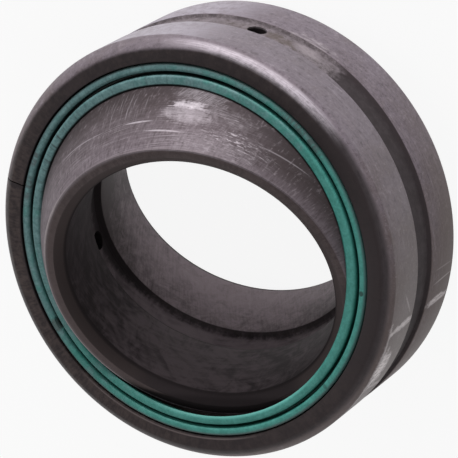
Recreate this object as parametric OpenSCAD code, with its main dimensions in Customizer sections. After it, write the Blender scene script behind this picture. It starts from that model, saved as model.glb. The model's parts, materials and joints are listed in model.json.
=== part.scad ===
// Radial spherical plain bearing with two lip seals, lying on its end.
// The origin is the common centre of both ball surfaces, and +Z points up from the table.

/* [Rings] */
// Bore diameter of the inner ring
bore_d = 35; // [30:0.5:40]
// Width of the inner ring
inner_w = 25; // [22:0.25:28]
// Radial width of the inner ring's end face, between the bore and the ball surface
inner_face_w = 2.4; // [1.8:0.1:3]
// Width of the outer ring
outer_w = 20; // [18:0.25:22]
// Thickness of the outer ring over the middle of the ball
outer_wall = 4; // [3.6:0.1:6]
// Angle between the axes of the two rings as the bearing lies
rest_tilt = 18; // [8:0.5:24]

/* [Edges] */
// Axial length of the rounded outer edge
edge_len = 1.5; // [0.8:0.1:2]
// Radius of the rounded outer edge
edge_round = 2.6; // [2.2:0.1:4]
// Angle at which the rounded edge leaves the outside diameter
edge_start = 20; // [10:1:30]
// Chamfer at both ends of the bore
bore_chamfer = 1.15; // [0.5:0.05:1.4]
// Small break on the sharp edges of both rings
edge_break = 0.15; // [0.08:0.01:0.25]

/* [Lubrication] */
// Width of the groove around the outer ring
outer_groove_w = 4.2; // [3.2:0.1:5]
// Depth of the groove around the outer ring
outer_groove_deep = 0.5; // [0.3:0.05:0.9]
// Width of the groove in the bore
bore_groove_w = 3.8; // [3:0.1:5]
// Depth of the groove in the bore
bore_groove_deep = 0.8; // [0.4:0.05:1.2]
// Diameter of the lubrication holes
lube_hole_d = 2.5; // [1.5:0.1:2.8]
// Direction of the pair of holes in the outer ring
outer_holes_at = -40.7; // [-90:0.1:90]
// Direction of the pair of holes in the inner ring
inner_holes_at = 70.3; // [-90:0.1:90]

/* [Split] */
// Direction of the fracture that lets the outer ring spring open
split_at = 47.1; // [0:0.1:180]
// Width of the fracture
split_gap = 0.15; // [0.1:0.01:0.3]
// How far the fracture bows from a straight radial line
split_bow = 0.2; // [0:0.05:0.4]

/* [Seals] */
// Radial width of a seal, from its lip to its outer wall
seal_w = 2.75; // [2.4:0.05:2.9]
// Radial width of the inner lip
inner_lip_w = 1.25; // [1:0.05:1.4]
// Radial width of the groove between the two lips
lip_groove_w = 0.5; // [0.4:0.05:0.7]
// Depth of the groove between the two lips
lip_groove_deep = 1.5; // [0.8:0.1:1.7]
// Depth of the seal's seat below the end of the outer ring
seat_deep = 2.6; // [2.3:0.1:3]
// How far the seal lies below the end of the outer ring
seal_set = 0.05; // [0.02:0.01:0.15]
// Height of the bead that holds the seal in its undercut
bead_h = 0.8; // [0.5:0.05:1]
// How far the bead stands out from the seal's wall
bead_out = 0.3; // [0.15:0.05:0.4]

/* [Fits] */
// Radial clearance between the two ball surfaces
ball_gap = 0.05; // [0.02:0.01:0.08]
// Clearance between a seal's lip and the ball surface
lip_gap = 0.05; // [0.03:0.01:0.08]
// Clearance between a seal and its seat
seal_gap = 0.12; // [0.08:0.01:0.18]
// Extra clearance behind the lip, at the foot of the seal
lip_relief = 0.4; // [0.25:0.05:0.5]

/* [Hidden] */
$fn = 120;
over = 1;

steel_outer = [0.36, 0.33, 0.34];
steel_inner = [0.33, 0.30, 0.31];
teal = [0.27, 0.47, 0.45];

bore_r = bore_d / 2;
half_outer = outer_w / 2;
half_inner = inner_w / 2;
face_r = bore_r + inner_face_w;
ball_r = sqrt(face_r ^ 2 + half_inner ^ 2);
race_r = ball_r + ball_gap;
outer_r = ball_r + outer_wall;

// Rounded outer edge: an arc that ends on the ring's end face
edge_end = asin(sin(edge_start) + edge_len / edge_round);
edge_deep = edge_round * (cos(edge_start) - cos(edge_end));
edge_r = outer_r - edge_deep;

// Seal and its seat, as radii and heights above the middle of the outer ring
seal_top = half_outer - seal_set;
lip_nose = 0.24 * inner_lip_w;
lip_z = seal_top - lip_nose;
lip_r = sqrt((ball_r + lip_gap) ^ 2 - lip_z ^ 2);
seal_r = lip_r + seal_w;
seat_r = seal_r + seal_gap;
seat_z = half_outer - seat_deep;
foot_z = seat_z + seal_gap;
foot_r = sqrt((ball_r + lip_relief) ^ 2 - foot_z ^ 2);
bead_r = seal_r + bead_out;
bead_top = foot_z + bead_h;
undercut_r = bead_r + seal_gap;
undercut_top = bead_top + seal_gap;
lip_break = 0.2 * lip_groove_w;

// The bearing lies on the rims of both rings, so both rims reach equally low
inner_rim_r = face_r - edge_break;
outer_lean = atan2(
    inner_rim_r * sin(rest_tilt) + half_inner * cos(rest_tilt) - half_outer,
    edge_r + inner_rim_r * cos(rest_tilt) - half_inner * sin(rest_tilt)
);
inner_lean = rest_tilt - outer_lean;

// Both ends of a section, from the half that is drawn above the middle
module both_ends() {
    children();
    mirror([0, 1]) children();
}

// A groove with sloping walls, cut from x = 0 towards +x
module groove_cut(width, deep) {
    slope = deep / 2;
    polygon([
        [-over, -width / 2],
        [0, -width / 2],
        [deep, slope - width / 2],
        [deep, width / 2 - slope],
        [0, width / 2],
        [-over, width / 2],
    ]);
}

// What the rounding takes off the outer edge of the outer ring
module edge_cut() {
    difference() {
        translate([edge_r, half_outer - edge_len]) square([edge_deep + over, edge_len + over]);
        translate([
            outer_r - edge_round * cos(edge_start),
            half_outer - edge_len - edge_round * sin(edge_start),
        ])
            circle(r = edge_round);
    }
}

// The seat of one seal, with its undercut and the broken edge of its mouth
module seat_cut() {
    translate([0, seat_z]) square([seat_r, seat_deep + over]);
    translate([0, seat_z]) square([undercut_r, undercut_top - seat_z]);
    polygon([
        [0, half_outer + over],
        [0, half_outer - edge_break],
        [seat_r, half_outer - edge_break],
        [seat_r + edge_break + over, half_outer + over],
    ]);
}

module outer_section() {
    difference() {
        translate([0, -half_outer]) square([outer_r, outer_w]);
        circle(r = race_r);
        both_ends() {
            seat_cut();
            edge_cut();
        }
        translate([outer_r, 0]) mirror([1, 0]) groove_cut(outer_groove_w, outer_groove_deep);
    }
}

module inner_section() {
    corner_r = face_r - edge_break;
    difference() {
        intersection() {
            circle(r = ball_r);
            translate([bore_r, -half_inner]) square([ball_r, inner_w]);
        }
        translate([bore_r, 0]) groove_cut(bore_groove_w, bore_groove_deep);
        both_ends() {
            polygon([
                [bore_r - over, half_inner + over],
                [bore_r - over, half_inner - bore_chamfer - over],
                [bore_r + bore_chamfer + over, half_inner + over],
            ]);
            polygon([
                [corner_r - over, half_inner + over],
                [corner_r + over, half_inner - over],
                [corner_r + over, half_inner + over],
            ]);
        }
    }
}

module seal_section() {
    groove_r = lip_r + inner_lip_w;
    outer_lip_r = groove_r + lip_groove_w;
    groove_z = seal_top - lip_groove_deep;
    polygon([
        [lip_r, lip_z],
        [lip_r + lip_nose, seal_top],
        [groove_r - lip_break, seal_top],
        [groove_r, seal_top - lip_break],
        [groove_r + lip_break, groove_z],
        [outer_lip_r - lip_break, groove_z],
        [outer_lip_r, seal_top - lip_break],
        [outer_lip_r + lip_break, seal_top],
        [seal_r - lip_break, seal_top],
        [seal_r, seal_top - lip_break],
        [seal_r, bead_top],
        [bead_r, bead_top - bead_out],
        [bead_r, foot_z],
        [foot_r, foot_z],
    ]);
}

// Two opposite radial holes through a ring
module lube_holes(at) {
    rotate([0, 90, at]) translate([0, 0, -outer_r]) cylinder(d = lube_hole_d, h = 2 * outer_r);
}

// The fracture through one side of the outer ring
module split() {
    mid_r = (seat_r + outer_r) / 2;
    in_r = bore_r;
    end_r = outer_r + over;
    rotate([0, 0, split_at])
        translate([0, 0, -half_outer - over])
            linear_extrude(outer_w + 2 * over)
                polygon([
                    [in_r, 0],
                    [mid_r, split_bow / 2],
                    [end_r, -split_bow],
                    [end_r, split_gap - split_bow],
                    [mid_r, split_gap + split_bow / 2],
                    [in_r, split_gap],
                ]);
}

// Turns a ring from upright to the way it leans at rest
module outer_place() {
    rotate([0, outer_lean, 0]) children();
}

module inner_place() {
    rotate([0, -inner_lean, 0]) children();
}

module outer_ring() {
    color(steel_outer)
        outer_place()
            difference() {
                rotate_extrude() outer_section();
                lube_holes(outer_holes_at);
                split();
            }
}

module inner_ring() {
    color(steel_inner)
        inner_place()
            difference() {
                rotate_extrude() inner_section();
                lube_holes(inner_holes_at);
            }
}

module front_seal() {
    color(teal) outer_place() rotate_extrude() seal_section();
}

module rear_seal() {
    color(teal) outer_place() mirror([0, 0, 1]) rotate_extrude() seal_section();
}

outer_ring();
inner_ring();
front_seal();
rear_seal();
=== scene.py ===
"""Spherical plain bearing with two lip seals, lying on its end on a white table."""
import json
import math

import bpy
from mathutils import Matrix, Vector


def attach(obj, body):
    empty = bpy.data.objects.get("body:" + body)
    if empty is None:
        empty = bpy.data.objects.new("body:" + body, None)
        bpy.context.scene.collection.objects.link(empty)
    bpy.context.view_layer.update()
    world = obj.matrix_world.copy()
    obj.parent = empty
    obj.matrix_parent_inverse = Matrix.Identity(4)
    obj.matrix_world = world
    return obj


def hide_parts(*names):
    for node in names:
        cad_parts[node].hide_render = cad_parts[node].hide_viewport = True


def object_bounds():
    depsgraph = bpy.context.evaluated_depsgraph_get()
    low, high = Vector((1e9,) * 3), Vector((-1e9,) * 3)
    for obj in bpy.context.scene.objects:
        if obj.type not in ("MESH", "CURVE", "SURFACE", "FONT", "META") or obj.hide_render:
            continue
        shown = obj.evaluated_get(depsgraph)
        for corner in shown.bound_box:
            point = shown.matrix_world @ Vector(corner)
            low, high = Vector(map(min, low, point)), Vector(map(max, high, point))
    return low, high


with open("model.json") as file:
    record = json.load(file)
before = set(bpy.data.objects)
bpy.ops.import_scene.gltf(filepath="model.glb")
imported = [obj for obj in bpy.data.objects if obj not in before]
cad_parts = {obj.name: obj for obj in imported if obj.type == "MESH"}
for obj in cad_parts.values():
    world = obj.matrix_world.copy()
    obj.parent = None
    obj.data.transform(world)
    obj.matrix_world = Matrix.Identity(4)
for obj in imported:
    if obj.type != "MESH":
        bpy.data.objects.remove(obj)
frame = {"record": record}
cad_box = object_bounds()

# Sizes and directions that the frame gives
MM = 0.001
mounts = {mount["name"]: mount for mount in frame["record"]["mounts"]}


def lean_of(mount):
    """How far a ring's axis leans from upright, about the row frame's Y."""
    axis = mounts[mount]["axis"]
    return math.atan2(axis[0], axis[2])


OUTER_LEAN = lean_of("housing_seat")
INNER_LEAN = lean_of("shaft_bore")
OUTER_R = mounts["housing_seat"]["dims"]["r_mm"]
BORE_R = mounts["shaft_bore"]["dims"]["r_mm"]
TABLE_Z = cad_box[0].z

# Driving sizes of the rings and seals, in millimetres
BALL_R = 23.5
BALL_GAP = 0.05
RACE_R = BALL_R + BALL_GAP
HALF_OUTER = 10.0
HALF_INNER = 12.5
EDGE_LEN = 1.5
EDGE_ROUND = 2.6
EDGE_START = math.radians(20)
BORE_CHAMFER = 1.15
OUTER_GROOVE_W = 4.2
OUTER_GROOVE_DEEP = 0.5
BORE_GROOVE_W = 3.8
BORE_GROOVE_DEEP = 0.8
LUBE_HOLE_R = 1.25
SEAT_DEEP = 2.6
SEAL_W = 2.75
SEAL_SET = 0.05
SEAL_TOP = HALF_OUTER - SEAL_SET
SEAL_GAP = 0.12
LIP_W = 1.25
LIP_GROOVE_W = 0.5
LIP_GROOVE_DEEP = 1.5
LIP_NOSE = 0.24 * LIP_W
LIP_GAP = 0.05
LIP_RELIEF = 0.4
BEAD_H = 0.8
BEAD_OUT = 0.3
SPLIT_GAP = 0.15
SPLIT_BOW = 0.2

# Radii and heights that follow from them
FACE_R = math.sqrt(BALL_R ** 2 - HALF_INNER ** 2)
EDGE_END = math.asin(math.sin(EDGE_START) + EDGE_LEN / EDGE_ROUND)
EDGE_R = OUTER_R - EDGE_ROUND * (math.cos(EDGE_START) - math.cos(EDGE_END))
LIP_R = math.sqrt((BALL_R + LIP_GAP) ** 2 - (SEAL_TOP - LIP_NOSE) ** 2)
SEAL_R = LIP_R + SEAL_W
SEAT_R = SEAL_R + SEAL_GAP
SEAT_Z = HALF_OUTER - SEAT_DEEP
FOOT_Z = SEAT_Z + SEAL_GAP
FOOT_R = math.sqrt((BALL_R + LIP_RELIEF) ** 2 - FOOT_Z ** 2)
UNDERCUT_R = SEAL_R + BEAD_OUT + SEAL_GAP
UNDERCUT_TOP = FOOT_Z + BEAD_H + SEAL_GAP
OUTER_GROOVE_R = OUTER_R - OUTER_GROOVE_DEEP
BORE_GROOVE_R = BORE_R + BORE_GROOVE_DEEP
LAND_END = HALF_OUTER - EDGE_LEN
OFF_MIDDLE = 0.3

# How far a cutter reaches past what it cuts
OVER = 1.0

# Directions around the rings, in degrees; at the last one the front seal overhangs the inner ring
OUTER_HOLES_AT = -40.7
INNER_HOLES_AT = 70.3
SPLIT_AT = 47.1
NICK_AT = 92.6
OVERHANG_AT = 153

# Bent stretches of the front seal's inner lip: direction, push and reach, then the share of the
# lip's width that bends, and how far from its inner edge and its middle each is taken hold of
BENDS = ((97.0, 0.40, 9.0), (-112.0, 0.28, 16.0))
BEND_SHARE = 0.7
BEND_GRIP = 0.05
BEND_SPREAD = math.radians(2)

# The small cut in the outer lip
NICK_R = LIP_R + LIP_W + LIP_GROOVE_W - 0.15
NICK_SIZE = 0.5
NICK_STRETCH = (0.7, 2.3, 2.4)

# Fineness of the meshes
SPIN_STEPS = 240
HOLE_STEPS = 40
EDGE_STEPS = 14
RACE_STEPS = 16
BALL_STEPS = 40
NICK_STEPS = 16
MERGE = 0.002 * MM
SMOOTH_ANGLE = math.radians(32)

# Light and table, with places and sizes in metres
WORLD_LIGHT = 0.5
TABLE_SIZE = 2.0
TABLE_WHITE = 0.90
TABLE_GLOW = 0.4
KEY_RISE = 0.09
KEY_DISTANCE = 0.6
KEY_WIDTH = 0.5
KEY_HEIGHT = 0.1
KEY_WATTS = 3.8
KEY_COLOUR = (1.0, 0.98, 1.0)

# Gloss
STEEL_GLOSS = 0.32
RUBBER_GLOSS = 0.3


def rgb(red, green, blue):
    return (red, green, blue, 1.0)


WHITE = rgb(1.0, 1.0, 1.0)
TABLE_GREY = rgb(0.9, 0.9, 0.9)
STEEL_TINT = rgb(1.0, 0.82, 0.87)

# Colours of the outer ring, linear
FACE_DARK = rgb(0.0025, 0.0019, 0.0018)
FACE_LIGHT = rgb(0.018, 0.0135, 0.0125)
FACE_REFLECTION = rgb(0.046, 0.035, 0.031)
MOUTH_HIGHLIGHT = rgb(0.11, 0.09, 0.088)
MOUTH_SHADE = rgb(0.002, 0.0016, 0.0016)
WALL_BROWN = rgb(0.083, 0.064, 0.060)
WALL_LILAC = rgb(0.145, 0.123, 0.143)
WALL_WORN_DARK = rgb(0.052, 0.041, 0.045)
WALL_WORN_PALE = rgb(0.215, 0.187, 0.212)
WALL_DARK_FLECK = rgb(0.040, 0.031, 0.033)
WALL_PALE_FLECK = rgb(0.28, 0.245, 0.275)
WALL_SHEEN = rgb(0.36, 0.335, 0.38)
WALL_STAIN = rgb(0.085, 0.066, 0.058)
WALL_WARM = rgb(0.078, 0.059, 0.054)
GROOVE_SHADE_DARK = rgb(0.004, 0.0030, 0.0028)
GROOVE_SHADE_GREY = rgb(0.032, 0.0265, 0.0285)
GROOVE_REFLECTION_DARK = rgb(0.075, 0.064, 0.066)
GROOVE_REFLECTION_PALE = rgb(0.165, 0.143, 0.155)
GROOVE_RUST = rgb(0.078, 0.062, 0.052)
GROOVE_BRIGHT = rgb(0.33, 0.29, 0.305)
GROOVE_CORNER_SHADOW = rgb(0.014, 0.011, 0.011)
EDGE_SHADE = rgb(0.003, 0.0023, 0.0023)
EDGE_HIGHLIGHT = rgb(0.50, 0.455, 0.50)
EDGE_SCRAPED = rgb(0.004, 0.003, 0.003)
SCUFF = rgb(0.30, 0.265, 0.295)
SCRATCH = rgb(0.74, 0.68, 0.69)
PIT = rgb(0.012, 0.009, 0.009)
# Black used as painted shade: inside the holes, beside the crack and in the seal's shadow on the inner
# face
SHADE_BLACK = rgb(0.001, 0.0008, 0.0008)

# Colours of the inner ring
BALL_DARK = rgb(0.036, 0.0275, 0.0285)
BALL_LILAC = rgb(0.124, 0.103, 0.116)
BALL_BROWN_SHADE = rgb(0.018, 0.0135, 0.0125)
BALL_MOTTLE_DARK = rgb(0.024, 0.018, 0.018)
BALL_MOTTLE_PALE = rgb(0.23, 0.20, 0.215)
BALL_HIDDEN_SHADE = rgb(0.003, 0.0024, 0.0024)
BALL_RUBBED = rgb(0.62, 0.57, 0.61)
BORE_DARK = rgb(0.009, 0.0068, 0.0072)
BORE_WIPED = rgb(0.100, 0.080, 0.087)
BORE_FLOOR = rgb(0.19, 0.155, 0.168)
BORE_SHADE = rgb(0.003, 0.0025, 0.0025)
BORE_CORNER = rgb(0.004, 0.003, 0.003)
BORE_END = rgb(0.002, 0.0015, 0.0015)
FAR_DARK = rgb(0.034, 0.027, 0.027)
FAR_PALE = rgb(0.36, 0.295, 0.32)
FAR_NICK = rgb(0.55, 0.47, 0.50)
CHAMFER_BROWN = rgb(0.044, 0.034, 0.033)
CHAMFER_DARK = rgb(0.030, 0.0230, 0.0222)
CHAMFER_SHADOW = rgb(0.014, 0.0112, 0.0120)
INNER_FACE_DARK = rgb(0.028, 0.0210, 0.0202)
INNER_FACE_BROWN = rgb(0.070, 0.0530, 0.0520)
INNER_FACE_LIGHT = rgb(0.098, 0.075, 0.073)
INNER_FACE_RIM_HIGHLIGHT = rgb(0.20, 0.172, 0.180)
RIM_HIGHLIGHT_GREY = rgb(0.20, 0.172, 0.182)
RIM_HIGHLIGHT_BRIGHT = rgb(0.55, 0.49, 0.49)

# Colours of the seals
TEAL_DARK = rgb(0.034, 0.183, 0.154)
TEAL_LIGHT = rgb(0.064, 0.268, 0.230)
GREASE_DARK = rgb(0.068, 0.128, 0.136)
GREASE_LIGHT = rgb(0.138, 0.228, 0.236)
SEAL_RIM_DARK = rgb(0.030, 0.048, 0.050)
SEAL_RIM_GREASE = rgb(0.120, 0.118, 0.128)
LIP_SHADOW = rgb(0.001, 0.003, 0.003)
LIP_HIGHLIGHT = rgb(0.15, 0.47, 0.41)
LIP_GROOVE_SHADE_TEAL = rgb(0.001, 0.042, 0.032)
LIP_GROOVE_SHADE_BLACK = rgb(0.001, 0.004, 0.004)
NICK_STAIN = rgb(0.055, 0.050, 0.048)
SPECK = rgb(0.001, 0.006, 0.005)
SCORED = rgb(0.018, 0.026, 0.028)
SMUDGE = rgb(0.052, 0.058, 0.060)


# Outlines of turned sections

def arc(centre, radius, start, end, steps):
    """Points of an arc, from its start angle to its end angle in radians."""
    angles = [start + (end - start) * step / steps for step in range(steps + 1)]
    return [(centre[0] + radius * math.cos(a), centre[1] + radius * math.sin(a)) for a in angles]


def softened(corners, steps=5):
    """An outline whose corners (r, z, radius) are rounded, for a section that closes on itself."""
    outline = []
    count = len(corners)
    for index, (r, z, radius) in enumerate(corners):
        here = Vector((r, z))
        before = (Vector(corners[index - 1][:2]) - here).normalized()
        after = (Vector(corners[(index + 1) % count][:2]) - here).normalized()
        half = before.angle(after) / 2
        reach = radius / math.tan(half)
        centre = here + (before + after).normalized() * radius / math.sin(half)
        start = here + before * reach - centre
        end = here + after * reach - centre
        sweep = start.angle_signed(end)
        for step in range(steps + 1):
            turn = Matrix.Rotation(-sweep * step / steps, 2)
            outline.append(tuple(centre + turn @ start))
    return outline


def mirrored(half):
    """A section's outline from its upper half, which runs from the outside inwards."""
    return half + [(r, -z) for r, z in reversed(half)]


def outer_half():
    """Upper half of the outer ring's section: groove, outside, rounded edge, end face, seat, race.

    The small numbers ease its corners, in millimetres. It starts and ends just off the middle.
    """
    slope = OUTER_GROOVE_DEEP / 2
    half_w = OUTER_GROOVE_W / 2
    edge_centre = (
        OUTER_R - EDGE_ROUND * math.cos(EDGE_START),
        LAND_END - EDGE_ROUND * math.sin(EDGE_START),
    )
    race_end = math.asin(SEAT_Z / RACE_R)
    return [
        (OUTER_GROOVE_R, OFF_MIDDLE),
        (OUTER_GROOVE_R, half_w - slope - 0.1),
        (OUTER_GROOVE_R + 0.1, half_w - slope + 0.02),
        (OUTER_R - 0.06, half_w - 0.03),
        (OUTER_R, half_w + 0.08),
        (OUTER_R, LAND_END - 0.06),
        *arc(edge_centre, EDGE_ROUND, EDGE_START, EDGE_END, EDGE_STEPS),
        (EDGE_R - 0.12, HALF_OUTER),
        (SEAT_R + 0.18, HALF_OUTER),
        (SEAT_R + 0.06, HALF_OUTER - 0.05),
        (SEAT_R, HALF_OUTER - 0.16),
        (SEAT_R, UNDERCUT_TOP),
        (UNDERCUT_R, UNDERCUT_TOP),
        (UNDERCUT_R, SEAT_Z),
        *arc((0, 0), RACE_R, race_end, race_end / 40, RACE_STEPS),
    ]


def inner_half():
    """Upper half of the inner ring's section: ball, end face, chamfer, bore, groove.

    The small numbers ease its corners, in millimetres. It starts and ends just off the middle.
    """
    slope = BORE_GROOVE_DEEP / 2
    half_w = BORE_GROOVE_W / 2
    ball_end = math.acos((FACE_R + 0.03) / BALL_R)
    return [
        *arc((0, 0), BALL_R, ball_end / 60, ball_end, BALL_STEPS),
        (FACE_R - 0.05, HALF_INNER - 0.04),
        (FACE_R - 0.18, HALF_INNER),
        (BORE_R + BORE_CHAMFER + 0.08, HALF_INNER),
        (BORE_R + BORE_CHAMFER - 0.03, HALF_INNER - 0.06),
        (BORE_R + 0.03, HALF_INNER - BORE_CHAMFER + 0.02),
        (BORE_R, HALF_INNER - BORE_CHAMFER - 0.1),
        (BORE_R, half_w + 0.08),
        (BORE_R + 0.06, half_w - 0.02),
        (BORE_GROOVE_R - 0.1, half_w - slope + 0.02),
        (BORE_GROOVE_R, half_w - slope - 0.1),
        (BORE_GROOVE_R, OFF_MIDDLE),
    ]


def seal_corners():
    """Corners of a seal's section with their roundings: two soft lips, a groove, a bead and a foot."""
    groove_r = LIP_R + LIP_W
    outer_lip_r = groove_r + LIP_GROOVE_W
    floor_z = SEAL_TOP - LIP_GROOVE_DEEP
    bead_top = FOOT_Z + BEAD_H
    bead_r = SEAL_R + BEAD_OUT
    return [
        (LIP_R, SEAL_TOP - LIP_NOSE, 0.06),
        (LIP_R + LIP_NOSE, SEAL_TOP, 0.35),
        (groove_r, SEAL_TOP, 0.32),
        (groove_r + 0.1, floor_z, 0.1),
        (outer_lip_r - 0.1, floor_z, 0.1),
        (outer_lip_r, SEAL_TOP, 0.38),
        (SEAL_R, SEAL_TOP, 0.42),
        (SEAL_R, bead_top, 0.05),
        (bead_r, bead_top - BEAD_OUT, 0.05),
        (bead_r, FOOT_Z, 0.05),
        (FOOT_R, FOOT_Z, 0.1),
    ]


# Turning, cutting and placing pieces

def trace(outline):
    """A closed wire in the XZ plane: one vertex, drawn out from point to point."""
    bpy.ops.object.select_all(action="DESELECT")
    bpy.ops.mesh.primitive_plane_add(size=MM)
    bpy.ops.object.mode_set(mode="EDIT")
    bpy.ops.mesh.select_all(action="SELECT")
    bpy.ops.mesh.merge(type="CENTER")
    start_r, start_z = outline[0]
    bpy.ops.transform.translate(value=(start_r * MM, 0, start_z * MM))
    for (r, z), (next_r, next_z) in zip(outline, outline[1:] + outline[:1]):
        step = ((next_r - r) * MM, 0, (next_z - z) * MM)
        bpy.ops.mesh.extrude_vertices_move(TRANSFORM_OT_translate={"value": step})
    bpy.ops.mesh.select_all(action="SELECT")
    bpy.ops.mesh.remove_doubles(threshold=MERGE)


def turned(name, outline):
    """A ring turned from its section about the Z axis."""
    trace(outline)
    bpy.ops.mesh.spin(steps=SPIN_STEPS, angle=2 * math.pi, center=(0, 0, 0), axis=(0, 0, 1))
    bpy.ops.mesh.select_all(action="SELECT")
    bpy.ops.mesh.remove_doubles(threshold=MERGE)
    bpy.ops.mesh.normals_make_consistent(inside=False)
    bpy.ops.object.mode_set(mode="OBJECT")
    piece = bpy.context.object
    piece.name = name
    return piece


def cut(piece, cutter):
    """Takes the cutter's shape off the piece."""
    bpy.ops.object.select_all(action="DESELECT")
    bpy.context.view_layer.objects.active = piece
    bpy.ops.object.modifier_add(type="BOOLEAN")
    boolean = piece.modifiers[-1]
    boolean.operation = "DIFFERENCE"
    boolean.solver = "EXACT"
    boolean.object = cutter
    bpy.ops.object.modifier_apply(modifier=boolean.name)
    bpy.data.objects.remove(cutter)


def drill(piece, at, radius, reach):
    """Two opposite radial holes through a ring, in a direction in degrees."""
    bpy.ops.object.select_all(action="DESELECT")
    bpy.ops.mesh.primitive_cylinder_add(
        vertices=HOLE_STEPS,
        radius=radius * MM,
        depth=2 * reach * MM,
        rotation=(0, math.pi / 2, math.radians(at)),
    )
    cut(piece, bpy.context.object)


def crack(piece):
    """The fracture line through one side of the outer ring, slightly bowed."""
    middle_r = (SEAT_R + OUTER_R) / 2
    end_r = OUTER_R + OVER
    wall = [
        (BORE_R, 0),
        (middle_r, SPLIT_BOW / 2),
        (end_r, -SPLIT_BOW),
        (end_r, SPLIT_GAP - SPLIT_BOW),
        (middle_r, SPLIT_GAP + SPLIT_BOW / 2),
        (BORE_R, SPLIT_GAP),
    ]
    trace(wall)
    bpy.ops.mesh.edge_face_add()
    deep = 2 * (HALF_OUTER + OVER) * MM
    bpy.ops.mesh.extrude_region_move(TRANSFORM_OT_translate={"value": (0, deep, 0)})
    bpy.ops.mesh.select_all(action="SELECT")
    bpy.ops.mesh.normals_make_consistent(inside=False)
    bpy.ops.object.mode_set(mode="OBJECT")
    blade = bpy.context.object
    upright = Matrix.Rotation(math.pi / 2, 4, "X")
    centred = Matrix.Translation((0, -deep / 2, 0))
    blade.matrix_world = Matrix.Rotation(math.radians(SPLIT_AT), 4, "Z") @ upright @ centred
    cut(piece, blade)


def press_lip(seal, angle, push, reach):
    """Bends a stretch of the inner lip outwards, where the inner ring's rim presses on it."""
    turn = math.radians(angle)
    outwards = Vector((math.cos(turn), math.sin(turn), 0))
    root_z = (SEAL_TOP - LIP_GROOVE_DEEP) * MM
    lip_out = (LIP_R + BEND_SHARE * LIP_W) * MM
    bpy.ops.object.select_all(action="DESELECT")
    seal.select_set(True)
    bpy.context.view_layer.objects.active = seal
    for vertex in seal.data.vertices:
        on_lip = vertex.co.xy.length < lip_out and abs(vertex.co.z) > root_z
        vertex.hide = not on_lip
        vertex.select = on_lip and vertex.co.xy.length < (LIP_R + BEND_GRIP) * MM
        vertex.select = vertex.select and vertex.co.xy.angle(outwards.xy) < BEND_SPREAD
    bpy.ops.object.mode_set(mode="EDIT")
    bpy.ops.transform.translate(
        value=outwards * push * MM,
        use_proportional_edit=True,
        proportional_edit_falloff="SMOOTH",
        proportional_size=reach * MM,
    )
    bpy.ops.mesh.reveal(select=False)
    bpy.ops.object.mode_set(mode="OBJECT")


def nick(seal):
    """A small cut in the groove-side edge of the outer lip."""
    turn = math.radians(NICK_AT)
    bpy.ops.object.select_all(action="DESELECT")
    bpy.ops.mesh.primitive_uv_sphere_add(
        segments=NICK_STEPS,
        ring_count=NICK_STEPS // 2,
        radius=NICK_SIZE * MM,
        location=(NICK_R * MM * math.cos(turn), NICK_R * MM * math.sin(turn), SEAL_TOP * MM),
        rotation=(0, 0, turn),
        scale=NICK_STRETCH,
    )
    cut(seal, bpy.context.object)


def lay(piece, lean, body, slot, *nodes):
    """Leans a finished ring as it lies, smooths it and puts it in place of its CAD nodes."""
    bpy.ops.object.select_all(action="DESELECT")
    piece.select_set(True)
    bpy.context.view_layer.objects.active = piece
    piece.rotation_euler = (0, lean, 0)
    bpy.ops.object.transform_apply(location=True, rotation=True, scale=True)
    bpy.ops.object.shade_smooth_by_angle(angle=SMOOTH_ANGLE)
    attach(piece, body)
    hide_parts(*nodes)


# Materials

class Wire:
    """A value in a material's nodes, with arithmetic that adds Math nodes."""

    def __init__(self, finish, socket):
        self.finish = finish
        self.socket = socket

    def math(self, operation, *values):
        return self.finish.node("ShaderNodeMath", {"operation": operation}, dict(enumerate(values)))

    def __add__(self, other):
        return self.math("ADD", self, other)

    def __sub__(self, other):
        return self.math("SUBTRACT", self, other)

    def __rsub__(self, other):
        return self.math("SUBTRACT", other, self)

    def __mul__(self, other):
        return self.math("MULTIPLY", self, other)

    def __truediv__(self, other):
        return self.math("DIVIDE", self, other)

    def __pow__(self, other):
        return self.math("POWER", self, other)

    __radd__ = __add__
    __rmul__ = __mul__

    def size(self):
        return self.math("ABSOLUTE", self)

    def most(self, other):
        return self.math("MAXIMUM", self, other)

    def ramp(self, low, high):
        """0 below low, 1 above high and smooth between; high may be the lower one."""
        return self.finish.node(
            "ShaderNodeMapRange",
            {"interpolation_type": "SMOOTHSTEP"},
            {"Value": self, "From Min": low, "From Max": high},
        )


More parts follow.
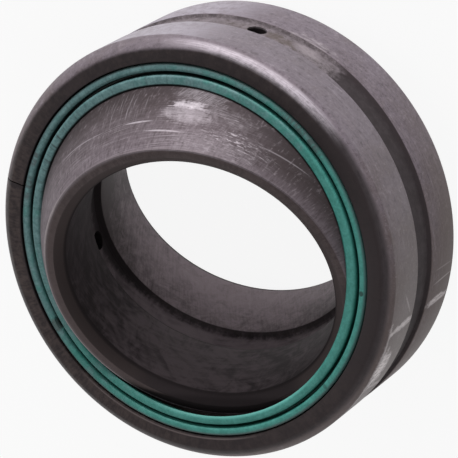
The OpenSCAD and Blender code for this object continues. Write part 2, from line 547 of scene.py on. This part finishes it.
class Finish:
    """One material, with the place of each point in a ring's own frame, in millimetres."""

    def __init__(self, name, lean):
        self.material = bpy.data.materials.new(name)
        self.material.use_nodes = True
        self.tree = self.material.node_tree
        self.shader = self.tree.nodes["Principled BSDF"]
        place = self.node("ShaderNodeTexCoord", output="Object")
        self.point = self.node(
            "ShaderNodeMapping",
            {"vector_type": "POINT"},
            {"Vector": place, "Rotation": (0, -lean, 0), "Scale": (1 / MM, 1 / MM, 1 / MM)},
        )
        self.x = self.part(0)
        self.y = self.part(1)
        self.z = self.part(2)
        self.r = (self.x * self.x + self.y * self.y) ** 0.5
        self.angle = self.y.math("ARCTAN2", self.y, self.x)

    def node(self, kind, settings=None, sockets=None, output=0):
        """Any node: its type, its settings and the values or links of its sockets."""
        made = self.tree.nodes.new(kind)
        for setting, value in (settings or {}).items():
            setattr(made, setting, value)
        for socket, value in (sockets or {}).items():
            self.join(value, made.inputs[socket])
        return Wire(self, made.outputs[output])

    def join(self, value, socket):
        if isinstance(value, Wire):
            self.tree.links.new(value.socket, socket)
        else:
            socket.default_value = value

    def part(self, axis):
        return self.node("ShaderNodeSeparateXYZ", {}, {0: self.point}, axis)

    def vector(self, x, y, z):
        return self.node("ShaderNodeCombineXYZ", {}, {0: x, 1: y, 2: z})

    def noise(self, scale, detail=3.0, rough=0.5, at=None, swirl=0.0):
        """Noise from 0 to 1 over the point, or over another vector; it may be swirled."""
        sockets = {
            "Vector": at or self.point,
            "Scale": scale,
            "Detail": detail,
            "Roughness": rough,
            "Distortion": swirl,
        }
        return self.node("ShaderNodeTexNoise", {}, sockets)

    def mix(self, first, second, share):
        """A colour between two colours."""
        return self.node("ShaderNodeMix", {"data_type": "RGBA"}, {0: share, 6: first, 7: second}, 2)

    def side(self, angle):
        """1 on the side of the ring in a direction in degrees, -1 on the opposite side."""
        turn = math.radians(angle)
        return (self.x * math.cos(turn) + self.y * math.sin(turn)) / self.r

    def strokes(self, length, width, seed, slant=0.0):
        """Noise drawn out into strokes around a ring's wall, or slanting across it."""
        turn = math.radians(slant)
        around = self.angle * BALL_R
        along = around * math.cos(turn) + self.z * math.sin(turn)
        across = self.z * math.cos(turn) - around * math.sin(turn)
        return self.noise(1.0, 2.0, 0.55, self.vector(along / length, across / width, seed))

    def rings(self, width, seed):
        """Fine turning marks that run all around the ring."""
        at = self.vector(self.r / width, self.z / width, self.side(0) * 0.7 + seed)
        return self.noise(1.0, 3.0, 0.6, at)

    def spot(self, angle, z, length, width, slant=0.0, fray=0.0):
        """1 in the middle of a patch on a ring's wall, falling to 0 at its rim, which may be frayed.

        Direction and slant are in degrees; height, half length and half width in millimetres.
        """
        turn = math.radians(slant)
        around = (self.angle - math.radians(angle)) * BALL_R
        height = self.z - z
        along = (around * math.cos(turn) + height * math.sin(turn)) / length
        across = (height * math.cos(turn) - around * math.sin(turn)) / width
        return (along * along + across * across + fray).ramp(1.0, 0.05)

    def streaks(self, width, seed):
        """Fine radial streaks on an end face."""
        return self.noise(1.0, 3.0, 0.6, self.vector(self.angle * BALL_R / width, self.r * 0.8, seed))

    def dab(self, angle, r, length, width):
        """1 in the middle of a patch on an end face, falling to 0 at its rim.

        Direction in degrees; radius, half length and half width in millimetres.
        """
        along = (self.angle - math.radians(angle)) * r / length
        across = (self.r - r) / width
        return (along * along + across * across).ramp(1.0, 0.4)

    def bump(self, height, depth):
        """The shader's normal, from a height of 0 to 1 and what 1 stands for in millimetres."""
        sockets = {"Height": height, "Distance": depth * MM, "Strength": 1.0}
        normal = self.node("ShaderNodeBump", {}, sockets)
        self.join(normal, self.shader.inputs["Normal"])

    def paint(self, colour, rough, gloss, tint):
        """Colour and roughness change over the surface; the strength and tint of its gloss don't."""
        self.join(colour, self.shader.inputs["Base Color"])
        self.join(rough, self.shader.inputs["Roughness"])
        self.shader.inputs["Specular IOR Level"].default_value = gloss
        self.shader.inputs["Specular Tint"].default_value = tint
        return self.material


def outer_face(steel, cloud, patchy, speckle):
    """End face: near black, lighter and browner on one side by painted reflection, with a painted
    highlight along the seat's mouth on one side and painted shade in the mouth on another.
    """
    streaks = steel.streaks(0.3, 2.0)
    shade = (cloud * 0.3 + patchy * 0.5 + streaks * 0.2 + speckle * 0.2).ramp(0.50, 0.74)
    face = steel.mix(FACE_DARK, FACE_LIGHT, shade)
    # Painted reflection: the face is lighter and browner on this side, broken up by streaks
    wear_and_reflection = steel.side(85).ramp(0.2, 1.0) * (patchy * 0.6 + streaks * 0.5).ramp(0.40, 0.72)
    face = steel.mix(face, FACE_REFLECTION, wear_and_reflection * 0.8)
    # Painted highlight along the edge of the seat's mouth, on one side
    mouth = (steel.r - SEAT_R - 0.25).size().ramp(0.16, 0.03)
    face = steel.mix(face, MOUTH_HIGHLIGHT, mouth * steel.side(140).ramp(0.82, 0.95) * 0.8)
    # Painted shade in the gap at the seat's mouth, on one side
    painted_shade = steel.r.ramp(SEAT_R + 0.24, SEAT_R + 0.10) * steel.side(20).ramp(-0.1, 0.4)
    return steel.mix(face, MOUTH_SHADE, painted_shade)


def outer_wall(steel, cloud, patchy, speckle):
    """Outside diameter: mottled lilac-grey, lighter on one side and browner towards the other by painted
    light, finely speckled, with a painted sheen on one side.
    """
    # Painted light: the lilac-grey tone leans towards one side, mixed with random mottling
    lilac = (steel.side(-45) * 0.35 + cloud * 0.5 + patchy * 0.5).ramp(0.40, 0.95)
    wall = steel.mix(WALL_BROWN, WALL_LILAC, lilac)
    wear_and_reflection = steel.strokes(2.2, 0.45, 41.0, 8.0) * 0.5 + patchy * 0.5
    wall = steel.mix(wall, WALL_WORN_DARK, wear_and_reflection.ramp(0.50, 0.66) * 0.45)
    wall = steel.mix(wall, WALL_WORN_PALE, wear_and_reflection.ramp(0.48, 0.34) * 0.40)
    dark_fleck = (speckle * 0.7 + patchy * 0.3).ramp(0.50, 0.66)
    wall = steel.mix(wall, WALL_DARK_FLECK, dark_fleck * 0.6)
    pale_fleck = (speckle * 0.7 + patchy * 0.3).ramp(0.48, 0.34)
    wall = steel.mix(wall, WALL_PALE_FLECK, pale_fleck * 0.4)
    sheen = steel.side(-10).ramp(0.86, 0.995) * (patchy * 0.6 + speckle * 0.4).ramp(0.32, 0.60)
    sheen = sheen * steel.z.size().ramp(LAND_END + 0.1, LAND_END - 0.2)
    wall = steel.mix(wall, WALL_SHEEN, sheen * 0.7)
    stain = steel.side(-150).ramp(0.2, 0.9) * steel.z.ramp(-2.5, -7.0)
    wall = steel.mix(wall, WALL_STAIN, stain * 0.6)
    return steel.mix(wall, WALL_WARM, steel.side(-155).ramp(0.55, 0.98) * 0.5)


def outer_groove(steel, patchy, speckle):
    """Groove floor: painted shade on one side, and beyond a ragged border a painted reflection as light
    as the outside.
    """
    # Painted reflection where the floor faces the light, painted shade elsewhere
    wear_and_reflection = (steel.side(-10) + patchy * 0.12).ramp(0.60, 0.67)
    greyer = steel.side(-88).ramp(0.55, 0.95) * 0.5 + patchy.ramp(0.35, 0.70) * 0.5
    dark = steel.mix(GROOVE_SHADE_DARK, GROOVE_SHADE_GREY, greyer)
    light = steel.mix(GROOVE_REFLECTION_DARK, GROOVE_REFLECTION_PALE, (patchy + speckle).ramp(0.75, 1.2))
    floor = steel.mix(dark, light, wear_and_reflection)
    fray = (patchy - 0.5) * 3.0
    rust = steel.spot(-35, 0.3, 3.0, 1.6, 0, fray) * 0.4
    rust = rust.most(steel.spot(-47.5, 0.2, 2.6, 1.5, 0, fray))
    floor = steel.mix(floor, GROOVE_RUST, rust * 0.6)
    bright = steel.spot(-55.5, -0.6, 2.2, 1.3, 0, fray)
    floor = steel.mix(floor, GROOVE_BRIGHT, bright * 0.45)
    # Painted shadow of the groove's far wall along its corner
    far_corner_shadow = steel.z.ramp(-OUTER_GROOVE_W / 2 + 0.55, -OUTER_GROOVE_W / 2 + 0.10)
    return steel.mix(floor, GROOVE_CORNER_SHADOW, far_corner_shadow * patchy.ramp(0.40, 0.62) * 0.8)


def wall_scratches(steel, patchy):
    """Pale scratches and a smear on the outside diameter, from 0 to 1."""
    ragged = (patchy * 0.5 + steel.strokes(1.5, 0.16, 9.0, 86.0) * 0.7).ramp(0.40, 0.66)
    fray = (patchy - 0.5) * 3.0
    long = steel.spot(-135.2, -5.4, 4.8, 0.55, 91, fray)
    long = long.most(steel.spot(-135.2, 5.0, 4.2, 0.55, 92, fray))
    beside = steel.spot(-154.6, 4.9, 3.4, 0.45, 77, fray) * 0.6
    beside = beside.most(steel.spot(-129.5, 4.2, 2.3, 0.18, 41) * 0.4)
    smear = steel.spot(-147.5, 6.8, 3.2, 2.2, 0, fray)
    smear = smear.most(steel.spot(-146, 8.2, 7.0, 0.6, 0, fray) * 0.45)
    faint = steel.spot(-129.5, -6.0, 3.4, 0.14, 92)
    faint = faint.most(steel.spot(-126, -6.0, 3.4, 0.12, 88) * 0.5)
    drawn = steel.strokes(1.6, 0.2, 43.0, 6.0).ramp(0.36, 0.62)
    by_hole = steel.spot(-54.5, -2.3, 3.2, 1.5, 8, fray) * drawn * 0.20
    torn = long.most(beside * 0.8) * (0.15 + ragged * 0.55)
    return torn.most(smear * ragged).most(faint * 0.25).most(by_hole)


def outer_steel():
    """Phosphated outer ring: dark end faces, lilac-grey outside and scratches, with a painted highlight
    and painted shade on the rounded edges and painted shade in the holes and beside the crack.
    """
    steel = Finish("outer_steel", OUTER_LEAN)
    cloud = steel.noise(0.2, 5.0, 0.6)
    patchy = steel.noise(0.9, 4.0, 0.65)
    speckle = steel.noise(2.4, 4.0, 0.75)
    grain = steel.noise(5.0, 4.0, 0.7)
    high = steel.z.size()
    land = steel.r.ramp(OUTER_R - 0.14, OUTER_R - 0.03)
    in_groove = high.ramp(OUTER_GROOVE_W / 2 + 0.02, OUTER_GROOVE_W / 2 - 0.10) * (1 - land)

    on_edge = high.ramp(LAND_END - 0.05, LAND_END + 0.1)
    # How far the outside's lighter tone reaches onto the rounded edge shifts by side: painted light and
    # shade
    border = steel.r + patchy * 0.3 - steel.side(-110).ramp(0.0, 0.9) * 0.6
    border = border + steel.side(-8).ramp(0.82, 0.97) * 0.3
    border = border - steel.side(105).ramp(0.1, 0.8) * 0.6
    outside = land.most(on_edge * border.ramp(EDGE_R + 0.15, EDGE_R + 0.75))
    colour = outer_face(steel, cloud, patchy, speckle)
    colour = steel.mix(colour, outer_wall(steel, cloud, patchy, speckle), outside)
    colour = steel.mix(colour, outer_groove(steel, patchy, speckle), in_groove)

    # Painted shade inside the lube holes
    hole_shade = steel.r.ramp(OUTER_GROOVE_R - 0.08, OUTER_GROOVE_R - 0.3)
    hole_shade = hole_shade * high.ramp(LUBE_HOLE_R + 0.3, LUBE_HOLE_R + 0.1)
    colour = steel.mix(colour, SHADE_BLACK, hole_shade)
    # Painted shade beside the crack
    beside_crack = ((steel.angle - math.radians(SPLIT_AT + 0.1)) * steel.r).size()
    colour = steel.mix(colour, SHADE_BLACK, beside_crack.ramp(0.24, 0.12) * 0.8)

    brushed = steel.strokes(1.8, 0.10, 8.0)
    # Painted shade on one side of the rounded edge, broken up by mottling
    edge_shade_mask = on_edge * (1 - outside) * steel.side(-112).ramp(0.60, 0.90)
    edge_shade_mask = edge_shade_mask * (patchy * 0.5 + cloud * 0.5).ramp(0.36, 0.56)
    colour = steel.mix(colour, EDGE_SHADE, edge_shade_mask * 0.8)
    # Painted highlight along the crest of the rounded edge, strongest on one side and brushed
    crest = steel.r.ramp(EDGE_R, EDGE_R + 0.8) * steel.r.ramp(OUTER_R - 0.12, OUTER_R - 0.45)
    rub_and_highlight = on_edge * crest
    rub_and_highlight = rub_and_highlight * (steel.side(-52).ramp(0.86, 0.99) * 0.9 + 0.05)
    uneven = (brushed * 0.6 + patchy * 0.4 + speckle * 0.5).ramp(0.50, 0.95)
    rub_and_highlight = rub_and_highlight * (uneven * 0.75 + 0.28)
    colour = steel.mix(colour, EDGE_HIGHLIGHT, rub_and_highlight)
    scraped = steel.dab(-90, EDGE_R + 0.15, 5.0, 0.22) * speckle.ramp(0.42, 0.56)
    colour = steel.mix(colour, EDGE_SCRAPED, scraped * on_edge)

    scuffs = steel.strokes(5.0, 0.16, 5.0, 12.0).ramp(0.60, 0.76) * cloud.ramp(0.40, 0.6)
    colour = steel.mix(colour, SCUFF, land * scuffs * 0.4)
    colour = steel.mix(colour, SCRATCH, land * wall_scratches(steel, patchy) * 0.9)
    colour = steel.mix(colour, PIT, grain.ramp(0.40, 0.28) * 0.5)

    rough = 0.38 + grain * 0.22 + in_groove * 0.25
    steel.bump(grain * 0.6 + speckle * 0.5, 0.012)
    return steel.paint(colour, rough, STEEL_GLOSS, STEEL_TINT)


def ball_marks(steel, patchy):
    """Rubbed and scratched places on the ball surface, from 0 to 1."""
    drawn = steel.strokes(2.4, 0.12, 6.0, -4.0)
    crossed = steel.strokes(1.8, 0.22, 16.0, 52.0)
    ragged = (patchy * 0.4 + drawn * 0.6 - 0.5) * 5.0
    core = steel.spot(-31, 6.5, 3.0, 0.8, -4, ragged)
    above = steel.spot(-34, 5.0, 4.0, 2.0, -10, ragged)
    above = above * (crossed * 0.5 + patchy * 0.5).ramp(0.34, 0.66) * 0.5
    below = steel.spot(-32, 7.8, 4.2, 1.7, 0, ragged) * 0.42
    beside = steel.spot(-43, 7.2, 5.5, 1.6, -8, ragged) * drawn.ramp(0.40, 0.68) * 0.32
    rub_and_highlight = core.most(above).most(below).most(beside) * (0.5 + drawn.ramp(0.36, 0.62) * 0.5)

    dashes = steel.strokes(0.9, 0.22, 23.0, -3.0).ramp(0.46, 0.68)
    clusters = 0.2 + patchy.ramp(0.42, 0.60) * 0.8
    flecks = steel.spot(-49, 10.2, 6.5, 1.7, -2, ragged) * dashes * clusters * 0.62
    frosted = steel.spot(-43, 11.4, 8.0, 1.6, 0, ragged) * (0.08 + dashes * 0.14)
    flecks = flecks.most(frosted)
    lines = steel.spot(-15, 8.7, 2.6, 0.16, -2).most(steel.spot(-25, 10.2, 3.8, 0.15, -3))
    lines = lines.most(steel.spot(-66, 9.3, 5.0, 0.11, 2) * 0.5)
    lines = lines.most(steel.spot(10, 8.3, 6.0, 0.13, -4) * 0.5)
    lines = lines * patchy.ramp(0.2, 0.5) * 0.45
    around = steel.strokes(8.0, 0.12, 2.0, 2.0).ramp(0.55, 0.72)
    around = around * steel.side(-5).ramp(0.4, 0.95) * steel.z.ramp(6.0, 9.0) * 0.22
    along = steel.strokes(4.0, 0.26, 4.0, 87.0).ramp(0.50, 0.70)
    along = along * steel.spot(-8, 6.0, 5.5, 3.0) * 0.20
    return rub_and_highlight.most(flecks).most(lines).most(around).most(along)


def ball_skin(steel, cloud, patchy, speckle):
    """Ball surface: mottled lilac-grey, with painted shade making it darker and browner near the seal on
    one side, and painted black shade on its hidden middle.
    """
    drawn = steel.strokes(5.0, 0.22, 21.0, 3.0)
    fine = steel.strokes(0.9, 0.3, 31.0, 70.0)
    pale = (steel.z * 0.10 + cloud * 0.7 + drawn * 0.7 + speckle * 0.3).ramp(1.15, 2.25)
    skin = steel.mix(BALL_DARK, BALL_LILAC, pale)
    # Painted shade: the ball darker and browner on one side near the seal
    brown = steel.side(-108).ramp(0.25, 0.80) * (steel.z + patchy * 2.0).ramp(14.2, 11.2)
    skin = steel.mix(skin, BALL_BROWN_SHADE, brown * (0.55 + drawn * 0.5))
    mottled = patchy * 0.5 + fine * 0.5
    skin = steel.mix(skin, BALL_MOTTLE_DARK, mottled.ramp(0.48, 0.64) * 0.60)
    skin = steel.mix(skin, BALL_MOTTLE_PALE, mottled.ramp(0.47, 0.33) * 0.42)
    # Painted black shade on the hidden middle, seen through the outer ring's holes
    return steel.mix(skin, BALL_HIDDEN_SHADE, steel.z.size().ramp(2.6, 2.0))


def bore_skin(steel, patchy, speckle, rings):
    """Bore: dark and wiped in front, with painted shade along the groove's far wall, and lighter beyond
    it, more so on one side by painted light.
    """
    wiped = steel.strokes(8.0, 1.5, 11.0, 26.0) * 0.45
    wiped = wiped + steel.strokes(10.0, 0.5, 13.0, -6.0) * 0.35
    bright = steel.side(132).ramp(0.70, 1.0) * 0.16
    film = (steel.noise(0.28, 4.0, 0.6, swirl=2.2) - 0.5) * 0.65
    wiped = (wiped + film + bright + rings * 0.1 + speckle * 0.12).ramp(0.38, 0.78)
    wiped = wiped * (0.3 + steel.side(140).ramp(0.2, 0.95) * 0.7)
    bore = steel.mix(BORE_DARK, BORE_WIPED, wiped)
    floor = steel.r.ramp(BORE_GROOVE_R - 0.3, BORE_GROOVE_R - 0.05)
    bore = steel.mix(bore, BORE_FLOOR, floor * (0.35 + wiped * 0.5))
    # Painted shade along the groove's far wall, with a ragged streaky edge
    streaky = steel.strokes(2.6, 0.9, 19.0, 84.0)
    shade_side = steel.side(52).ramp(0.55, 0.98) * 1.4
    ragged = streaky * 1.2 + patchy * 1.3 + speckle * 0.9
    far_wall_shade = (steel.z + ragged - shade_side).ramp(0.95, -0.25)
    bore = steel.mix(bore, BORE_SHADE, far_wall_shade * 0.9)
    near_corner = (steel.z - BORE_GROOVE_W / 2).size().ramp(0.26, 0.08)
    bore = steel.mix(bore, BORE_CORNER, near_corner * patchy.ramp(0.3, 0.5) * 0.9)

    cloudy = (steel.noise(0.45, 5.0, 0.65, swirl=1.2) - 0.5) * 0.9 + 0.5
    scratched = cloudy * 0.55 + steel.strokes(3.2, 0.35, 15.0, 62.0) * 0.20 + speckle * 0.25
    # Painted light: the far land is lighter on one side
    share = scratched + steel.side(134) * 0.45 - steel.z.ramp(-9.0, -2.0) * 0.16
    share = share.ramp(0.48, 1.05)
    far_skin = steel.mix(FAR_DARK, FAR_PALE, share)
    far = steel.z.ramp(-BORE_GROOVE_W / 2 + 0.05, -BORE_GROOVE_W / 2 - 0.05)
    nicked = steel.strokes(2.4, 0.16, 47.0, -14.0).ramp(0.62, 0.74)
    nicked = nicked * steel.side(128).ramp(0.80, 0.97)
    far_skin = steel.mix(far_skin, FAR_NICK, nicked * 0.35)
    bore = steel.mix(bore, far_skin, far)
    chamfer_z = HALF_INNER - BORE_CHAMFER
    chamfer = steel.mix(CHAMFER_BROWN, CHAMFER_DARK, steel.side(98).ramp(0.45, 0.85))
    # Painted shadow of the overhanging seal on the chamfer
    chamfer = steel.mix(chamfer, CHAMFER_SHADOW, steel.side(OVERHANG_AT).ramp(0.76, 0.88))
    bore = steel.mix(bore, chamfer, steel.z.size().ramp(chamfer_z - 0.05, chamfer_z + 0.05))
    bore_edge = (steel.z.size() - chamfer_z).size().ramp(0.34, 0.08)
    return steel.mix(bore, BORE_END, bore_edge * 0.9), far


def inner_face(steel, cloud, patchy, speckle):
    """End face: brown with fine radial streaks, a painted highlight at its rim, and painted black shadow
    where a seal overhangs it.
    """
    streaks = steel.streaks(0.3, 9.0)
    shade = (cloud * 0.3 + patchy * 0.35 + streaks * 0.2 + speckle * 0.35).ramp(0.45, 0.76)
    face = steel.mix(INNER_FACE_DARK, INNER_FACE_BROWN, shade)
    face = steel.mix(face, INNER_FACE_LIGHT, steel.side(85).ramp(0.2, 0.9) * 0.45)
    # Painted highlight along the face's rim, on one side
    rim_glint = steel.r.ramp(FACE_R - 0.50, FACE_R - 0.10) * steel.side(50).ramp(0.3, 0.7)
    face = steel.mix(face, INNER_FACE_RIM_HIGHLIGHT, rim_glint * (0.10 + cloud * 0.6))
    # Painted black shadow cast by the overhanging seal onto the face
    painted_shade = (steel.side(OVERHANG_AT) + (steel.r - FACE_R) * 0.10).ramp(0.76, 0.83)
    return steel.mix(face, SHADE_BLACK, painted_shade), painted_shade


def inner_steel():
    """Phosphated inner ring: lilac-grey ball surface with rub marks, dark bore and faces, a painted
    highlight along the face's rim and painted shade in the holes and under the seal.
    """
    steel = Finish("inner_steel", INNER_LEAN)
    cloud = steel.noise(0.25, 5.0, 0.6)
    patchy = steel.noise(1.1, 4.0, 0.65)
    speckle = steel.noise(2.6, 4.0, 0.75)
    grain = steel.noise(5.0, 4.0, 0.7)
    rings = steel.rings(0.10, 7.0)
    across = steel.r * steel.r + steel.z * steel.z
    ball = across.ramp((BALL_R - 0.20) ** 2, (BALL_R - 0.08) ** 2)
    inside = steel.r.ramp(BORE_R + BORE_CHAMFER + 0.12, BORE_R + BORE_CHAMFER + 0.05)
    drilled = steel.r.ramp(BORE_GROOVE_R + 0.02, BORE_GROOVE_R + 0.10)

    face, painted_shade = inner_face(steel, cloud, patchy, speckle)
    bore, far = bore_skin(steel, patchy, speckle, rings)
    marks = ball_marks(steel, patchy)
    colour = steel.mix(face, bore, inside)
    colour = steel.mix(colour, ball_skin(steel, cloud, patchy, speckle), ball)
    colour = steel.mix(colour, BALL_RUBBED, ball * marks)
    # Painted shade inside the lube holes
    hole_shade = drilled * (1 - ball)
    hole_shade = hole_shade * steel.z.size().ramp(LUBE_HOLE_R + 0.3, LUBE_HOLE_R + 0.1)
    colour = steel.mix(colour, SHADE_BLACK, hole_shade)
    # Painted highlight along the edge between ball and face, strongest on one side
    rim = steel.r.ramp(FACE_R + 0.22, FACE_R + 0.02)
    rim = rim * steel.r.ramp(FACE_R - 0.2, FACE_R - 0.05)
    rim = rim * (1 - inside) * (1 - painted_shade) * (0.2 + patchy * 0.6)
    rim = rim * (0.15 + steel.side(40).ramp(-0.3, 0.4) * 0.85)
    rim_highlight = steel.mix(RIM_HIGHLIGHT_GREY, RIM_HIGHLIGHT_BRIGHT, steel.side(70).ramp(0.55, 0.9))
    colour = steel.mix(colour, rim_highlight, rim * 0.9)

    rough = 0.46 + grain * 0.20 - marks * 0.15 + painted_shade * (1 - ball) * 0.2
    rough = rough + inside * (1 - far) * (0.12 + steel.side(60).ramp(0.4, 1.0) * 0.2)
    steel.bump(grain * 0.5 + speckle * 0.3 + rings * 0.3, 0.010)
    return steel.paint(colour, rough, STEEL_GLOSS, STEEL_TINT)


def seal_dirt_and_light(rubber, colour, patchy):
    """Grease along the outer rim, painted shade in the groove, a painted shadow and a painted highlight
    on the inner lip, and the stains on the lips.
    """
    rim = rubber.r.ramp(SEAL_R - 0.50, SEAL_R - 0.08)
    dull = rubber.mix(SEAL_RIM_DARK, SEAL_RIM_GREASE, rubber.side(150).ramp(0.5, 0.9))
    colour = rubber.mix(colour, dull, rim * (0.30 + patchy * 0.9))
    # Painted shadow along the inner lip's edge against the ball, on one side
    lip_edge_shadow = rubber.r.ramp(LIP_R + 0.22, LIP_R + 0.08) * rubber.side(-30).ramp(0.05, 0.35)
    colour = rubber.mix(colour, LIP_SHADOW, lip_edge_shadow)
    # Painted highlight near the inner lip's edge, on one side
    lip_highlight = rubber.r.ramp(LIP_R + 0.55, LIP_R + 0.15) * rubber.side(168).ramp(0.80, 0.97)
    colour = rubber.mix(colour, LIP_HIGHLIGHT, lip_highlight * 0.8)
    # Painted shade in the lip groove, darker with depth and blacker on one side
    blacker_side = rubber.side(5).ramp(0.40, 0.72)
    deep = ((SEAL_TOP - rubber.z.size()) * (1 + blacker_side * 0.5)).ramp(0.22, 0.95)
    groove_shade = rubber.mix(LIP_GROOVE_SHADE_TEAL, LIP_GROOVE_SHADE_BLACK, blacker_side)
    colour = rubber.mix(colour, groove_shade, deep * 0.96)
    notch = rubber.dab(NICK_AT, NICK_R, 1.0, 0.34)
    stain = rubber.dab(NICK_AT, NICK_R + 0.5, 1.1, 0.5) * 0.6
    specks = rubber.dab(-124.4, 23.6, 0.4, 0.35)
    specks = specks.most(rubber.dab(-158.6, 23.5, 0.3, 0.5) * 0.6)
    colour = rubber.mix(colour, NICK_STAIN, stain)
    return rubber.mix(colour, SPECK, notch.most(specks * 0.8))


def seal_rubber():
    """Teal elastomer: clean on one side, smeared grey with grease on the other."""
    rubber = Finish("seal_rubber", OUTER_LEAN)
    grain = rubber.noise(3.0, 4.0, 0.6)
    patchy = rubber.noise(0.8, 4.0, 0.6)
    smear = rubber.strokes(4.0, 0.5, 1.0)
    ticks = rubber.strokes(1.0, 0.42, 12.0, 55.0)
    mottled = (grain + patchy).ramp(0.7, 1.3)
    clean = rubber.mix(TEAL_DARK, TEAL_LIGHT, mottled)
    greasy = rubber.mix(GREASE_DARK, GREASE_LIGHT, mottled)
    share = (rubber.side(20) * 0.32 + smear * 0.6 + patchy * 0.5).ramp(0.45, 0.82)
    colour = rubber.mix(clean, greasy, share * 0.85)
    scored_lip = rubber.dab(28, LIP_R + 0.5, 6.0, 0.7)
    scored_lip = scored_lip * (ticks * 0.6 + patchy * 0.4).ramp(0.48, 0.60)
    scored = share * ticks.ramp(0.56, 0.70) * 0.5 + scored_lip * 0.7
    colour = rubber.mix(colour, SCORED, scored * 0.7)
    smudges = rubber.dab(-72, 23.7, 5.0, 0.7)
    smudges = smudges.most(rubber.dab(37, 23.8, 1.4, 0.5))
    smudges = smudges.most(rubber.dab(47, 23.7, 1.9, 0.6))
    smudges = smudges * (patchy * 0.5 + ticks * 0.5).ramp(0.42, 0.58)
    colour = rubber.mix(colour, SMUDGE, smudges * 0.7)
    colour = seal_dirt_and_light(rubber, colour, patchy)
    rubber.bump(grain, 0.02)
    return rubber.paint(colour, 0.42 + grain * 0.2, RUBBER_GLOSS, WHITE)


# The four pieces

def build_rings():
    outer = turned("outer_ring_turned", mirrored(outer_half()))
    drill(outer, OUTER_HOLES_AT, LUBE_HOLE_R, OUTER_R + OVER)
    crack(outer)
    lay(outer, OUTER_LEAN, "outer", "outer_steel", "outer_ring")
    outer.data.materials.append(outer_steel())

    inner = turned("inner_ring_turned", mirrored(inner_half()))
    drill(inner, INNER_HOLES_AT, LUBE_HOLE_R, BALL_R + OVER)
    lay(inner, INNER_LEAN, "inner", "inner_steel", "inner_ring")
    inner.data.materials.append(inner_steel())


def build_seals():
    rubber = seal_rubber()
    for name, side in (("front_seal", 1), ("rear_seal", -1)):
        section = [(r, side * z) for r, z in softened(seal_corners())]
        seal = turned(name + "_moulded", section)
        if side > 0:
            for angle, push, reach in BENDS:
                press_lip(seal, angle, push, reach)
            nick(seal)
        lay(seal, OUTER_LEAN, "seals", "seal", name)
        seal.data.materials.append(rubber)


# Camera, from the photograph: direction, roll about the line of sight, distance and lens

def build_camera():
    azimuth = math.radians(21.565)
    elevation = math.radians(53.395)
    roll = math.radians(-141.543)
    distance = 381.893 * MM
    aside = 0.284 * MM
    above = 0.047 * MM
    back = Vector((
        math.sin(azimuth) * math.cos(elevation),
        -math.cos(azimuth) * math.cos(elevation),
        math.sin(elevation),
    ))
    level = Vector((math.cos(azimuth), math.sin(azimuth), 0))
    right = Matrix.Rotation(roll, 3, back) @ level
    up = back.cross(right)
    camera = bpy.data.objects.new("camera", bpy.data.cameras.new("camera"))
    bpy.context.scene.collection.objects.link(camera)
    camera.matrix_world = Matrix.Translation(back * distance + right * aside - up * above) @ Matrix(
        (right, up, back)
    ).transposed().to_4x4()
    camera.data.sensor_width = 36
    camera.data.lens = 237.55
    camera.data.clip_start = 0.01
    bpy.context.scene.camera = camera
    return up


def soft_lamp(name, towards, distance, width, height, watts, colour):
    """A rectangular lamp that faces the bearing from a direction."""
    lamp = bpy.data.lights.new(name, "AREA")
    lamp.shape = "RECTANGLE"
    lamp.size = width
    lamp.size_y = height
    lamp.energy = watts
    lamp.color = colour
    stand = bpy.data.objects.new(name, lamp)
    bpy.context.scene.collection.objects.link(stand)
    stand.location = towards.normalized() * distance
    stand.rotation_euler = towards.to_track_quat("Z", "Y").to_euler()


class Nodes:
    """A node tree of the stage, for the table or the world."""

    def __init__(self, tree):
        self.tree = tree

    node = Finish.node
    join = Finish.join


def seen_directly(nodes):
    """1 for camera, glossy and transmission rays, which see the background, and 0 for light."""
    path = nodes.node("ShaderNodeLightPath")
    seen = path
    for ray in ("Is Glossy Ray", "Is Transmission Ray"):
        seen = seen.most(Wire(nodes, path.socket.node.outputs[ray]))
    return seen


def build_world():
    """White where it is seen, softer where it lights."""
    world = bpy.data.worlds.new("studio")
    bpy.context.scene.world = world
    world.use_nodes = True
    nodes = Nodes(world.node_tree)
    lit = nodes.node("ShaderNodeBackground", {}, {"Color": WHITE, "Strength": WORLD_LIGHT})
    white = nodes.node("ShaderNodeBackground", {}, {"Color": WHITE, "Strength": 1.0})
    mixed = nodes.node("ShaderNodeMixShader", {}, {0: seen_directly(nodes), 1: lit, 2: white})
    nodes.join(mixed, world.node_tree.nodes["World Output"].inputs["Surface"])


def build_table():
    """A white table that keeps a soft shadow of the bearing."""
    bpy.ops.object.select_all(action="DESELECT")
    bpy.ops.mesh.primitive_plane_add(size=TABLE_SIZE, location=(0, 0, TABLE_Z))
    table = bpy.context.object
    table.name = "table"
    paper = bpy.data.materials.new("table_white")
    paper.use_nodes = True
    nodes = Nodes(paper.node_tree)
    lit = nodes.node("ShaderNodeBsdfDiffuse", {}, {"Color": TABLE_GREY})
    white = nodes.node("ShaderNodeEmission", {}, {"Color": WHITE, "Strength": 1.0})
    share = seen_directly(nodes) * (TABLE_WHITE - TABLE_GLOW) + TABLE_GLOW
    mixed = nodes.node("ShaderNodeMixShader", {}, {0: share, 1: lit, 2: white})
    nodes.join(mixed, paper.node_tree.nodes["Material Output"].inputs["Surface"])
    table.data.materials.append(paper)


def build_lamp(up):
    """A long low lamp on the side that is up in the photograph, where its light comes from."""
    level = Vector((up.x, up.y, 0)).normalized()
    towards = level + Vector((0, 0, KEY_RISE))
    soft_lamp("key", towards, KEY_DISTANCE, KEY_WIDTH, KEY_HEIGHT, KEY_WATTS, KEY_COLOUR)


build_rings()
build_seals()
build_world()
build_table()
build_lamp(build_camera())
bpy.context.scene.view_settings.view_transform = "Standard"
